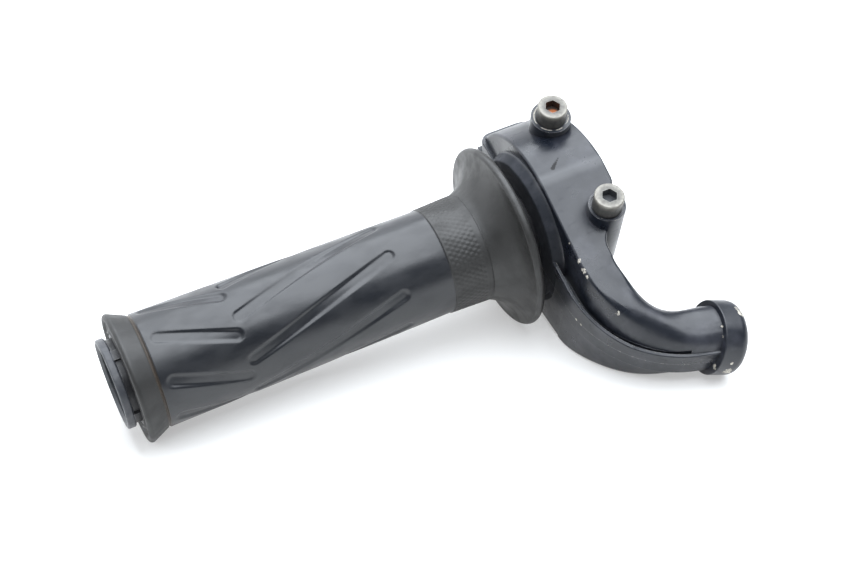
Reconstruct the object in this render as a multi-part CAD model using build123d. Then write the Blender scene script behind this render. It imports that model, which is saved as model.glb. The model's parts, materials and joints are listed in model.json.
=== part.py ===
"""Twist throttle grip for a 22.2 mm handlebar: clamp housing, cable snout and twist sleeve.

Everything is drawn in the housing's own frame: X runs along the handlebar towards the middle
of the vehicle, Z runs up the clamp screws, and the two castings part on Z = 0.  The finished
pieces are then turned about the bar by LEAN, the angle at which the grip lies on a table.
"""
from build123d import *
import math
import os

# ---------------------------------------------------------------- driving dimensions, mm
LEAN = 21.5              # degrees that the snout dips below the bar when the grip lies down

BAR_CLAMP_R = 11.2       # clamp bore for the 22.2 mm bar
CLAMP_START_X = -4.2     # where the clamp bore begins, next to the drum chamber
INBOARD_X = 6.5          # inboard face of the housing
FACE_X = -16.6           # outboard face of the housing, round the twist sleeve

# twist sleeve
SLEEVE_BORE_R = 11.25
SLEEVE_R = 13.0
SLEEVE_END_X = -140.6    # open outboard end
SLEEVE_INNER_X = -4.95   # inboard end, inside the housing
RIM_R, RIM_LEN, RIM_EDGE_R = 12.8, 2.4, 0.5
MOUTH_BEVEL = 0.8
NECK_R, NECK_END_X = 11.95, -136.3
KEY_COUNT, KEY_WIDTH, KEY_ANGLE, KEY_R = 4, 3.2, 85.0, 12.7

# cable drum on the sleeve
DRUM_START_X = -13.0
DRUM_HUB_R, DRUM_FLANGE_R = 16.0, 18.6
CABLE_X = -8.6           # plane of the cable on the drum
GROOVE_W, FLANGE_T = 2.6, 1.3
LUG_ANGLE, LUG_SPAN = -50.0, 24.0      # stop lug, degrees round the bar at rest
TRAVEL = 80.0            # opening travel, degrees
STOP_PLAY, STOP_SPAN = 1.5, 10.0       # degrees
STOP_GAP, STOP_BITE = 0.4, 0.3         # from the drum, and into the chamber's wall
NIPPLE_R, NIPPLE_AT_R, NIPPLE_ANGLE = 3.2, 16.2, 20.0

# rubber grip
GRIP_START_X = -136.6
RING_X, RING_R = -135.4, 18.5
RING_ROUND, RING_MID_ROUND = 1.2, 0.35    # its front edge starts and passes this far from the corner
BODY_R = 16.3
VEE_X, VEE_DEPTH, VEE_W = -130.1, 0.5, 0.9
BAND_X, BAND_R, BAND_STEP = -44.5, 15.4, 0.25
FLARE_X, FLARE_R = -32.8, 16.05
FLARE_MID = (-27.3, 19.6)
LIP_X, LIP_R, LIP_T = -24.7, 26.8, 2.6
LIP_FRONT_ROUND, LIP_CREST, LIP_BACK_ROUND = 0.5, 0.1, 0.9

# housing
ARCH_R, ARCH_ROUND = 20.7, 0.6    # collar round the sleeve on the outboard face
ARCH_BACK_X, ARCH_BACK_R = -10.0, 22.4    # it is a cone from that face up to the wall behind it
SLEEVE_HOLE_R = 13.6
CHAMBER_R, CHAMBER_X = 19.8, -13.4
RIM_H = 4.0              # flange along the parting line
INNER_RIM_H = 1.5        # the upper casting's flange inside the bend
LOWER_RIM_H = 4.5
RIM_ROUND = 0.35
LIP_Y, LIP_H = -19.0, 8.6         # the flange is this high beside the sleeve's arch ...
LIP_LEVEL_Y = -50.0               # ... and falls to its plain height by here
PARTING_BEVEL = 0.2      # bevel of both castings along the parting line
CREST_Y, CREST_Z = -2.0, 24.0     # the housing's highest line, just in front of the bar's axis
CREST_ROUND = 3.0        # rounding of the crest between the flat top and the crown
CROWN_MID, CROWN_FOOT_Z = (20.0, 17.4), 3.0   # crown behind the crest: a point (Y, Z), its foot
BELLY_MID = (14.0, -19.6)         # the same curve under the lower casting
ARRIS = 0.8              # rounding of the castings' edges
BACK_Y = 31.2            # rear of the castings above the flange
BACK_RIM_Y = 32.0        # rear edge of the flange
WALL_X = -13.6           # outboard wall above the flange, front half
REAR_WALL_X = -12.3      # the same wall behind the sleeve
REAR_LEDGE = 1.5         # width of the flange's ledge along that wall
LOWER_REAR_X = -14.0     # the lower casting stands a little prouder there
REAR_CORNER_R, INBOARD_CORNER_R = 3.5, 7.0    # plan corners at the rear
WAIST_R, SNOUT_CORNER_R = 3.0, 5.0            # plan corners inside the bend
WAIST_Y = -8.5           # where the upper casting starts to narrow towards the snout
KEEL_Y, KEEL_Z = -10.0, 18.8   # where the keel's flat bottom begins, its depth at the bend

# snout: straight forwards, then a bend towards the middle of the vehicle
SNOUT_R = 8.0            # half width of the flange at the parting line
KEEL_R = 7.6             # half width of the lower casting just below the flange
BEND_Y = -28.0
BEND_R = 25.6
BEND_ANGLE = 75.0
TOP_SLOPE = 0.26         # fall of the flat top per mm forwards
SLOT_START_Y, SLOT_END = -18.0, 70.5   # groove beside the flange: its start, its end in degrees
SLOT_OUTER, SLOT_W, SLOT_FLOOR_Z = 7.0, 1.5, 3.0
SLOT_TAPER = 1.0         # how much narrower it is at a right angle to its start

# collar at the snout's end
COLLAR_R, COLLAR_LEN, COLLAR_START = 10.5, 8.1, 4.4
COLLAR_ROUND, COLLAR_RIM_ROUND = 2.9, 0.3
COLLAR_DIP = -16.0       # degrees below the parting plane
COLLAR_OUT = 0.35        # its centre lies a little outside the snout's
SNOUT_OVERRUN = 3.5      # the snout is drawn this far past the collar's plane, then cut there
STUB_R, STUB_LEN, STUB_ROOT = 7.4, 5.4, 2.0
COLLAR_HOLE_R = 4.8

# cable ferrule seat and wire liner
SEAT_R, SEAT_BACK, SEAT_GAP = 5.4, 5.0, 0.15
FERRULE_R, FERRULE_DEPTH = 3.6, 8.0
WIRE_R = 1.3
LINER_R = 2.4
LINER_START_Z, LINER_LEAD = 6.2, 5.0      # its height over the bend's start, its straight lead
LINER_MID_ANGLE, LINER_MID_Z = 36.0, 3.2
CHANNEL_R = 3.3
CHANNEL_ANGLES = (20, 40, 58, 75)
CHANNEL_START_Y = {1: -12.0, -1: -16.0}   # in the upper casting and in the lower one
CHANNEL_HEIGHTS = {1: (17.5, 13.2, 10.9, 8.3, 6.4, 4.6), -1: (3.0, 3.0, 3.2, 3.4, 3.8, 4.2)}

# clamp screws, M5 socket head
SCREW_Y = 16.5
REAR, FRONT = 1, -1      # which side of the bar
SEAT_Z = {REAR: 24.05, FRONT: 23.3}    # where each screw's head sits
SHANK_R, HEAD_R, HEAD_H, HEAD_ROUND = 2.5, 4.25, 5.0, 0.45
SOCKET_AF, SOCKET_DEPTH = 4.0, 2.6
BOSS_R = {REAR: 5.8, FRONT: 5.3}
SPOT_R, SPOT_DEPTH = 4.8, 0.35
CLEARANCE_R = 2.75
SCREW_TIP_Z, TIP_BEVEL = -14.0, 0.5
TAPPED_FURTHER = 2.0     # depth of the tapped hole past the screw's tip
LOWER_BOSS_Z = -21.6

# small hidden pieces
DOWELS = {"rear": (-3.0, 27.0, 1.5), "front": (-2.6, -22.6, 1.2)}
DOWEL_HALF, DOWEL_PLAY, DOWEL_BEVEL = 3.6, 0.2, 0.3
WASHER_R, WASHER_BORE_R, WASHER_T = 18.0, 11.6, 0.5

BEND_CENTRE = (CABLE_X + BEND_R, BEND_Y)
DRUM_FACE_X = CABLE_X - GROOVE_W / 2 - FLANGE_T    # outboard face of the drum's first flange

# reach of cutting solids, and tolerances by which edges are picked
WHOLE_WIDTH, ABOVE_ALL = 60.0, 30.0
BEFORE_X, BEHIND_X = -20.0, 10.0
OVERLAP = 1.0            # how far a cut or a joined solid runs past its face
TOUCH = 0.3
ROUNDED_FROM_Z = 1.0     # edges nearer to the parting plane than this stay sharp
ACROSS = 10.0            # edges that are longer than this along X run across the casting


# ---------------------------------------------------------------- helpers
def ring_about_x(x0, x1, r_out, r_in=0.0):
    """A cylinder, or a tube, about the bar axis from x0 to x1."""
    face = Circle(r_out) - Circle(r_in) if r_in else Circle(r_out)
    return extrude(Plane.YZ.offset(x0) * face, x1 - x0)


def sector_about_x(x0, x1, r_in, r_out, angle, span):
    """A piece of a tube about the bar axis; angle is its middle, from +Y towards +Z."""
    reach = 2 * r_out
    half = math.radians(span / 2)
    wedge = Polyline((0, 0), (reach * math.cos(half), -reach * math.sin(half)),
                     (reach * math.cos(half), reach * math.sin(half)), close=True)
    face = make_face(Plane.YZ.offset(x0) * Rot(0, 0, angle) * wedge)
    return extrude(face, x1 - x0) & ring_about_x(x0, x1, r_out, r_in)


def bend_point(angle, radius=BEND_R):
    """Plan position on the snout's bend, angle in degrees from where the bend starts."""
    a = math.radians(angle)
    return (BEND_CENTRE[0] - radius * math.cos(a), BEND_CENTRE[1] - radius * math.sin(a))


def collar_plane(distance=0.0):
    """Plane across the collar, distance along its axis from its inner rim."""
    yaw = BEND_ANGLE - 90.0
    end = bend_point(BEND_ANGLE)
    ahead = Vector(math.cos(math.radians(yaw)), math.sin(math.radians(yaw)), 0)
    side = Vector(-ahead.Y, ahead.X, 0)
    origin = (Vector(end[0], end[1], 0) + ahead * COLLAR_START - side * COLLAR_OUT)
    dip = math.radians(COLLAR_DIP)
    axis = ahead * math.cos(dip) + Vector(0, 0, math.sin(dip))
    return Plane(origin=origin + axis * distance, x_dir=side, z_dir=axis)


def blend(a, b, share):
    return (a[0] + (b[0] - a[0]) * share, a[1] + (b[1] - a[1]) * share)


def snout_section(plane, foot, top, height, corner, roundness, up=1):
    """Half section of the snout standing on the parting plane, from boxy (0) to round (1)."""
    bow = 0.02
    side_mid = ((foot + top) / 2 + bow, (height - corner) / 2)
    box = [side_mid, (top, height - corner),
           (top - corner * (1 - math.sqrt(0.5)), height - corner * (1 - math.sqrt(0.5))),
           (top - corner, height), (0, height + bow)]
    turns = [18, 36, 52, 68, 90]
    arc = [(foot * math.cos(math.radians(t)), height * math.sin(math.radians(t))) for t in turns]
    mid1, shoulder, mid2, edge, crown = [blend(p, q, roundness) for p, q in zip(box, arc)]

    def at(point, side):
        return (side * point[0], up * point[1])

    wire = Wire([
        ThreePointArc((-foot, 0), at(mid1, -1), at(shoulder, -1)),
        ThreePointArc(at(shoulder, -1), at(mid2, -1), at(edge, -1)),
        ThreePointArc(at(edge, -1), at(crown, 1), at(edge, 1)),
        ThreePointArc(at(edge, 1), at(mid2, 1), at(shoulder, 1)),
        ThreePointArc(at(shoulder, 1), at(mid1, 1), (foot, 0)),
        Line((foot, 0), (-foot, 0)),
    ])
    return plane * Face(wire)


def snout_plane(angle=None, y=None, ahead=0.0):
    """Upright plane across the snout: at a Y on its straight part, or at an angle on the bend."""
    if y is not None:
        return Plane(origin=(CABLE_X, y, 0), x_dir=(1, 0, 0), z_dir=(0, -1, 0))
    a = math.radians(angle)
    x, y = bend_point(angle)
    forward = (math.sin(a), -math.cos(a), 0)
    origin = (x + forward[0] * ahead, y + forward[1] * ahead, 0)
    return Plane(origin=origin, x_dir=(math.cos(a), math.sin(a), 0), z_dir=forward)


def top_height(y):
    """Height of the housing's sloping flat top in front of its crest."""
    return CREST_Z + TOP_SLOPE * (y - CREST_Y)


def bend_band(inner, outer, end, z0, z1):
    """A band round the bend, from its start to an angle; inner and outer are signed half widths."""
    ring = Circle(BEND_R + outer) - Circle(BEND_R + inner)
    reach = 3 * BEND_R
    a = math.radians(end)
    wedge = make_face(Polyline((0, 0), (-reach, 0), (-reach, -reach),
                               (-reach * math.cos(a), -reach * math.sin(a)), close=True))
    return Pos(*BEND_CENTRE, z0) * extrude(ring & wedge, z1 - z0)


def straight_band(inner, outer, y_start, z0, z1):
    """The same band along the snout's straight part, from y_start to the bend."""
    return Pos(CABLE_X - (inner + outer) / 2, (y_start + BEND_Y) / 2, (z0 + z1) / 2) * Box(
        outer - inner, y_start - BEND_Y, z1 - z0)


def tail_band(inner, outer, z0, z1):
    """The same band from the end of the bend until past the collar's plane."""
    length = COLLAR_START + SNOUT_OVERRUN
    plane = snout_plane(angle=BEND_ANGLE, ahead=length / 2)
    return plane * Pos(-(inner + outer) / 2, (z0 + z1) / 2, 0) * Box(outer - inner, z1 - z0, length)


def snout_band(inner, outer, y_start, z0, z1):
    return (straight_band(inner, outer, y_start, z0, z1)
            + bend_band(inner, outer, BEND_ANGLE, z0, z1) + tail_band(inner, outer, z0, z1))


# ---------------------------------------------------------------- housing
def plan_prism(points, z0, z1, radii):
    """A prism over a plan outline whose listed corners are rounded."""
    face = make_face(Polyline(*points, close=True))
    for (x, y), radius in radii.items():
        corner = face.vertices().sort_by_distance((x, y, 0))[0]
        face = fillet(corner, radius)
    return Pos(0, 0, z0) * extrude(face, z1 - z0)


def side_prism(profile):
    """Side profile, drawn in (Y, Z), run through the whole width of the housing."""
    return extrude(Plane.YZ * profile, WHOLE_WIDTH, both=True)


def upper_block():
    """The upper casting over the bar: crowned behind the crest, flat and falling in front."""
    snout_side, snout_y = WALL_X + 10.0, -24.0
    plan = [(REAR_WALL_X, BACK_Y), (WALL_X, 0), (WALL_X, BEND_Y), (snout_side, BEND_Y),
            (snout_side, snout_y), (INBOARD_X, WAIST_Y), (INBOARD_X, BACK_Y)]
    body = plan_prism(plan, 0, ABOVE_ALL, {(INBOARD_X, BACK_Y): INBOARD_CORNER_R,
                                           (INBOARD_X, WAIST_Y): WAIST_R,
                                           (snout_side, snout_y): SNOUT_CORNER_R})
    side = make_face([
        Line((BEND_Y, 0), (BEND_Y, top_height(BEND_Y))),
        Line((BEND_Y, top_height(BEND_Y)), (CREST_Y, CREST_Z)),
        ThreePointArc((CREST_Y, CREST_Z), CROWN_MID, (BACK_Y, CROWN_FOOT_Z)),
        Line((BACK_Y, CROWN_FOOT_Z), (BACK_Y, 0)),
        Line((BACK_Y, 0), (BEND_Y, 0)),
    ])
    body = body & side_prism(side)
    body = fillet(body.edges().filter_by(Axis.X).sort_by(Axis.Z)[-1], CREST_ROUND)
    arris = [e for e in body.edges() if e.center().Z > ROUNDED_FROM_Z and not is_upright(e)
             and e.bounding_box().size.X < ACROSS and abs(e.center().Y - BEND_Y) > TOUCH]
    return fillet(arris, ARRIS)


def is_upright(edge):
    return edge.geom_type == GeomType.LINE and abs((edge % 0.5).Z) > 0.999


def upper_snout():
    """Upper half of the snout: a flat-topped box that turns into a half round tube."""
    tail = COLLAR_START + SNOUT_OVERRUN
    stations = [
        (snout_plane(y=BEND_Y), 5.0, 5.0, top_height(BEND_Y), 0.9, 0.0),
        (snout_plane(angle=12), 5.7, 5.0, 15.9, 1.2, 0.0),
        (snout_plane(angle=26), 6.2, 5.0, 14.1, 2.0, 0.12),
        (snout_plane(angle=42), 6.4, 5.2, 12.0, 3.0, 0.8),
        (snout_plane(angle=58), 6.9, 5.8, 9.9, 4.0, 0.9),
        (snout_plane(angle=75), SNOUT_R, 7.6, 8.6, 5.2, 0.6),
        (snout_plane(angle=75, ahead=tail), SNOUT_R, 7.6, 8.4, 5.2, 0.6),
    ]
    return loft([snout_section(*s) for s in stations])


def lower_snout():
    """Lower half of the snout: a deep smooth keel that turns into a half round tube."""
    tail = COLLAR_START + SNOUT_OVERRUN
    stations = [
        (snout_plane(y=BEND_Y), KEEL_R, 7.8, KEEL_Z, ARRIS, 0.0),
        (snout_plane(angle=14), KEEL_R, 7.7, 16.6, 1.2, 0.0),
        (snout_plane(angle=30), KEEL_R, 7.6, 14.2, 1.8, 0.1),
        (snout_plane(angle=46), KEEL_R, 7.5, 12.6, 2.6, 0.25),
        (snout_plane(angle=60), KEEL_R, 7.2, 11.0, 3.2, 0.5),
        (snout_plane(angle=75), KEEL_R, 6.8, 9.5, 4.0, 0.8),
        (snout_plane(angle=75, ahead=tail), KEEL_R, 6.8, 9.0, 4.0, 0.8),
    ]
    return loft([snout_section(*s, up=-1) for s in stations])


def lower_block():
    """The lower casting under the bar, flush with the flange on its outboard side."""
    outer_x, inner_x = CABLE_X - KEEL_R, CABLE_X + KEEL_R
    plan = [(LOWER_REAR_X, BACK_Y), (outer_x, KEEL_Y), (outer_x, BEND_Y), (inner_x, BEND_Y),
            (inner_x, -24.5), (INBOARD_X, KEEL_Y), (INBOARD_X, BACK_Y)]
    body = plan_prism(plan, -ABOVE_ALL, 0, {(INBOARD_X, BACK_Y): INBOARD_CORNER_R})
    side = make_face([
        Line((BEND_Y, 0), (BEND_Y, -KEEL_Z)),
        Line((BEND_Y, -KEEL_Z), (KEEL_Y, LOWER_BOSS_Z)),
        ThreePointArc((KEEL_Y, LOWER_BOSS_Z), BELLY_MID, (BACK_Y, -CROWN_FOOT_Z)),
        Line((BACK_Y, -CROWN_FOOT_Z), (BACK_Y, 0)),
        Line((BACK_Y, 0), (BEND_Y, 0)),
    ])
    body = body & side_prism(side)
    hull = [e for e in body.edges() if e.center().Z < -ROUNDED_FROM_Z and not is_upright(e)
            and min(abs(e.center().Y - y) for y in (BEND_Y, KEEL_Y)) > TOUCH]
    return fillet(hull, ARRIS)


def flange(z0, z1, rear_x):
    """The flange that both castings carry along the parting line, without the bend's inside."""
    front = snout_band(0, SNOUT_R, SCREW_Y, z0, z1)
    plan = [(rear_x, BACK_RIM_Y), (rear_x, SCREW_Y), (CABLE_X, SCREW_Y), (CABLE_X, KEEL_Y),
            (INBOARD_X, KEEL_Y), (INBOARD_X, BACK_RIM_Y)]
    return front + plan_prism(plan, z0, z1, {(rear_x, BACK_RIM_Y): REAR_CORNER_R,
                                             (INBOARD_X, BACK_RIM_Y): INBOARD_CORNER_R + 1})


def lip():
    """Outer strip of the upper flange, beside the slot: high at the arch, falling round the bend."""
    strip = snout_band(SLOT_OUTER, SNOUT_R, LIP_Y + 4, 0, 2 * LIP_H)
    slope = (LIP_H - RIM_H) / (LIP_Y - LIP_LEVEL_Y)
    end_y = 3 * BEND_Y
    under = make_face(Polyline((0, 0), (0, LIP_H - slope * LIP_Y), (LIP_LEVEL_Y, RIM_H),
                               (end_y, RIM_H), (end_y, 0), close=True))
    strip = strip & side_prism(under)
    top = [e for e in strip.edges() if e.center().Z > RIM_H - TOUCH and is_outer(e)]
    return fillet(top, RIM_ROUND)


def is_outer(edge):
    """Whether an edge lies on the snout's outer side, at the flange's full half width."""
    x, y = edge.center().X, edge.center().Y
    if y > BEND_Y:
        return x < CABLE_X - SNOUT_R + TOUCH
    return math.dist((x, y), BEND_CENTRE) > BEND_R + SNOUT_R - TOUCH


def arch():
    """Conical collar of the upper casting that stands out around the twist sleeve."""
    outline = Polyline((FACE_X, 0), (FACE_X, ARCH_R), (WALL_X, ARCH_BACK_R),
                       (ARCH_BACK_X, ARCH_BACK_R), (ARCH_BACK_X, 0), close=True)
    ring = revolve(make_face(outline), Axis.X)
    return fillet(ring.edges().filter_by(GeomType.CIRCLE).sort_by(Axis.X)[0], ARCH_ROUND)


def at_screw(side, radius, z0, z1):
    """An upright cylinder on one screw's axis."""
    return Pos(0, side * SCREW_Y, (z0 + z1) / 2) * Cylinder(radius, z1 - z0)


def screw_holes(radius, z0, z1):
    return at_screw(REAR, radius, z0, z1) + at_screw(FRONT, radius, z0, z1)


def dowel_holes():
    holes = Part()
    for x, y, radius in DOWELS.values():
        holes += Pos(x, y, 0) * Cylinder(radius, 2 * (DOWEL_HALF + DOWEL_PLAY))
    return holes


def bar_and_sleeve_space():
    """What the bar, the sleeve and its drum need inside the castings."""
    return (ring_about_x(BEFORE_X, BEHIND_X, BAR_CLAMP_R)
            + ring_about_x(BEFORE_X, CHAMBER_X + OVERLAP, SLEEVE_HOLE_R)
            + ring_about_x(CHAMBER_X, CLAMP_START_X, CHAMBER_R))


def liner_path():
    """Centre line of the wire's liner: from the drum down and round the bend to its seat."""
    back = collar_plane(-SEAT_BACK).origin
    side = bend_point(LINER_MID_ANGLE)
    start = Vector(CABLE_X, BEND_Y, LINER_START_Z)
    arc = ThreePointArc(start, (side[0], side[1], LINER_MID_Z), back)
    lead = Line(start - (arc % 0) * LINER_LEAD, start)
    return Wire([lead, arc])


def channel(up):
    """Space in a casting for the liner: as wide as a finger slot and open at the parting line."""
    spots = [snout_plane(y=CHANNEL_START_Y[up]), snout_plane(y=BEND_Y)]
    spots += [snout_plane(angle=angle) for angle in CHANNEL_ANGLES]
    slabs = []
    for plane, height in zip(spots, CHANNEL_HEIGHTS[up]):
        outline = Polyline((-CHANNEL_R, 0), (CHANNEL_R, 0), (CHANNEL_R, up * height),
                           (-CHANNEL_R, up * height), close=True)
        slabs.append(plane * make_face(outline))
    return loft(slabs[:2], ruled=True) + loft(slabs[1:])


def seat_space():
    """Bore at the snout's end for the cable seat, and the stub that the collar slides on."""
    plane = collar_plane(-SEAT_BACK)
    return extrude(plane * Circle(SEAT_R), SEAT_BACK + STUB_LEN + OVERLAP)


def stub():
    """Round spigot at the snout's end, under the collar."""
    return extrude(collar_plane(-STUB_ROOT) * Circle(STUB_R), STUB_LEN + STUB_ROOT)


def beyond_snout():
    """Everything past the plane where the snout ends and the collar begins."""
    return extrude(collar_plane() * Circle(2 * COLLAR_R), 3 * COLLAR_LEN)


def half_space(up):
    """Everything above the parting plane, or below it where up is -1."""
    reach = 2 * WHOLE_WIDTH
    return Pos(0, 0, up * reach / 2) * Box(2 * reach, 2 * reach, reach)


def slot():
    """The groove between the flange's lip and the tube, from the arch round the bend, tapering."""
    inner, top = SLOT_OUTER - SLOT_W, 2 * LIP_H
    groove = (straight_band(inner, SLOT_OUTER, SLOT_START_Y, SLOT_FLOOR_Z, top)
              + bend_band(inner, SLOT_OUTER, SLOT_END, SLOT_FLOOR_Z, top))
    kept = Pos(BEND_CENTRE[0], BEND_CENTRE[1] - SLOT_TAPER, top / 2) * Cylinder(BEND_R + inner, top)
    return groove - kept


def housing_upper():
    """Upper casting: takes the screw heads and the top half of the snout."""
    rim = flange(0, RIM_H, REAR_WALL_X - REAR_LEDGE)
    rim = fillet(rim.faces().sort_by(Axis.Z)[-1].edges(), RIM_ROUND)
    rim += snout_band(-SNOUT_R, 0, 0, 0, INNER_RIM_H)
    solid = rim + upper_block() + upper_snout() - slot() + lip()
    solid += arch() & half_space(1)
    for side in (REAR, FRONT):
        solid += at_screw(side, BOSS_R[side], RIM_H / 2, SEAT_Z[side] + SPOT_DEPTH)
        solid -= at_screw(side, SPOT_R, SEAT_Z[side], ABOVE_ALL)
    solid -= screw_holes(CLEARANCE_R, -OVERLAP, ABOVE_ALL)
    solid -= beyond_snout()
    solid += stub() & half_space(1)
    solid -= bar_and_sleeve_space()
    solid -= channel(1)
    solid -= seat_space() + dowel_holes()
    return bevel_parting(solid & half_space(1))


def bevel_parting(solid):
    """Bevels the casting's outer edge on the parting plane."""
    on_plane = solid.faces().filter_by(Plane.XY).filter_by_position(Axis.Z, -TOUCH, TOUCH)
    return chamfer(on_plane.sort_by(SortBy.AREA)[-1].outer_wire().edges(), PARTING_BEVEL)


def stops():
    """Two ribs in the chamber that the drum's lug runs up against."""
    reach = LUG_SPAN / 2 + STOP_PLAY + STOP_SPAN / 2
    ribs = Part()
    for angle in (LUG_ANGLE + reach, LUG_ANGLE - TRAVEL - reach):
        ribs += sector_about_x(CHAMBER_X - STOP_BITE, DRUM_FACE_X - STOP_GAP, DRUM_HUB_R + STOP_GAP,
                               CHAMBER_R + STOP_BITE, angle, STOP_SPAN)
    return ribs


def housing_lower():
    """Lower casting: tapped bosses, stop ribs and the bottom half of the snout."""
    solid = flange(-LOWER_RIM_H, 0, LOWER_REAR_X) + snout_band(-SNOUT_R, 0, 0, -LOWER_RIM_H, 0)
    solid += lower_block() + lower_snout()
    solid += ring_about_x(FACE_X, ARCH_BACK_X, ARCH_R) & half_space(-1)
    for side in (REAR, FRONT):
        solid += at_screw(side, BOSS_R[side], LOWER_BOSS_Z, -RIM_H / 2)
    solid -= screw_holes(SHANK_R, SCREW_TIP_Z - TAPPED_FURTHER, OVERLAP)
    solid -= beyond_snout()
    solid += stub() & half_space(-1)
    solid -= bar_and_sleeve_space()
    solid += stops()
    solid -= channel(-1)
    solid -= seat_space() + dowel_holes()
    return bevel_parting(solid & half_space(-1))


# ---------------------------------------------------------------- small pieces of the housing
def snout_collar():
    """Ring pressed over the snout's end, with an end wall that traps the cable seat."""
    ring = extrude(collar_plane() * Circle(COLLAR_R), COLLAR_LEN)
    rims = ring.edges().filter_by(GeomType.CIRCLE).sort_by_distance(collar_plane().origin)
    ring = fillet(rims[-1], COLLAR_ROUND)
    ring = fillet(ring.edges().filter_by(GeomType.CIRCLE).sort_by_distance(
        collar_plane().origin)[0], COLLAR_RIM_ROUND)
    ring -= extrude(collar_plane(-OVERLAP) * Circle(STUB_R), STUB_LEN + OVERLAP)
    return ring - extrude(collar_plane(STUB_LEN - OVERLAP) * Circle(COLLAR_HOLE_R), COLLAR_LEN)


def cable_seat():
    """Bush that the cable's end ferrule pushes into; the wire goes on through it."""
    bush = extrude(collar_plane(-SEAT_BACK) * Circle(SEAT_R), SEAT_BACK + STUB_LEN)
    bush -= extrude(collar_plane(STUB_LEN - FERRULE_DEPTH) * Circle(FERRULE_R), 2 * FERRULE_DEPTH)
    return bush - extrude(collar_plane(-SEAT_BACK - OVERLAP) * Circle(WIRE_R), SEAT_BACK + OVERLAP)


def wire_liner():
    """Bent nylon tube that carries the inner wire round the bend."""
    path = liner_path()
    start = Plane(origin=path @ 0, z_dir=path % 0)
    tube = sweep(start * (Circle(LINER_R) - Circle(WIRE_R)), path=path)
    return tube - extrude(collar_plane(-SEAT_BACK - SEAT_GAP) * Circle(2 * COLLAR_R), 2 * SEAT_BACK)


def clamp_screw(side):
    """M5 socket head screw on one side of the bar."""
    top = SEAT_Z[side] + HEAD_H
    head = at_screw(side, HEAD_R, SEAT_Z[side], top)
    head = fillet(head.edges().filter_by(GeomType.CIRCLE).sort_by(Axis.Z)[-1], HEAD_ROUND)
    socket = extrude(RegularPolygon(SOCKET_AF / math.sqrt(3), 6), SOCKET_DEPTH)
    head -= Pos(0, side * SCREW_Y, top - SOCKET_DEPTH) * socket
    shank = at_screw(side, SHANK_R, SCREW_TIP_Z, SEAT_Z[side])
    return head + chamfer(shank.edges().filter_by(GeomType.CIRCLE).sort_by(Axis.Z)[0], TIP_BEVEL)


def locating_dowel(x, y, radius):
    pin = Cylinder(radius, 2 * DOWEL_HALF)
    return Pos(x, y, 0) * chamfer(pin.edges().filter_by(GeomType.CIRCLE), DOWEL_BEVEL)


def thrust_washer():
    """Nylon ring between the drum and the wall of the clamp bore."""
    return ring_about_x(CLAMP_START_X - WASHER_T, CLAMP_START_X, WASHER_R, WASHER_BORE_R)


# ---------------------------------------------------------------- what turns
def drum():
    """Cable drum at the sleeve's inboard end: hub, two flanges, stop lug and nipple pocket."""
    solid = ring_about_x(DRUM_START_X, SLEEVE_INNER_X, DRUM_HUB_R, SLEEVE_BORE_R)
    for face_x in (DRUM_FACE_X, CABLE_X + GROOVE_W / 2):
        solid += ring_about_x(face_x, face_x + FLANGE_T, DRUM_FLANGE_R, SLEEVE_BORE_R)
    solid += sector_about_x(DRUM_START_X, DRUM_FACE_X, SLEEVE_BORE_R, DRUM_FLANGE_R,
                            LUG_ANGLE, LUG_SPAN)
    angle = math.radians(NIPPLE_ANGLE)
    y, z = NIPPLE_AT_R * math.cos(angle), NIPPLE_AT_R * math.sin(angle)
    pocket = Plane.YZ.offset(CABLE_X - GROOVE_W / 2) * Pos(y, z) * Circle(NIPPLE_R)
    return solid - extrude(pocket, 2 * GROOVE_W)


def throttle_sleeve():
    """Plastic tube that turns on the bar: open rim, keyed neck, long tube and cable drum."""
    tube = ring_about_x(NECK_END_X, SLEEVE_INNER_X, SLEEVE_R, SLEEVE_BORE_R)
    neck = ring_about_x(SLEEVE_END_X + RIM_LEN, NECK_END_X, NECK_R, SLEEVE_BORE_R)
    rim = ring_about_x(SLEEVE_END_X, SLEEVE_END_X + RIM_LEN, RIM_R)
    rim = fillet(rim.edges().filter_by(GeomType.CIRCLE), RIM_EDGE_R)
    rim -= ring_about_x(SLEEVE_END_X - OVERLAP, 0, SLEEVE_BORE_R)
    solid = tube + neck + rim
    span = math.degrees(KEY_WIDTH / RIM_R)
    for i in range(KEY_COUNT):
        solid += sector_about_x(SLEEVE_END_X + RIM_LEN / 2, NECK_END_X, SLEEVE_BORE_R, KEY_R,
                                KEY_ANGLE + i * 360 / KEY_COUNT, span)
    circles = solid.edges().filter_by(GeomType.CIRCLE).sort_by(Axis.X)
    mouth = [e for e in circles if abs(e.radius - SLEEVE_BORE_R) < TOUCH][0]
    return chamfer(mouth, MOUTH_BEVEL) + drum()


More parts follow.
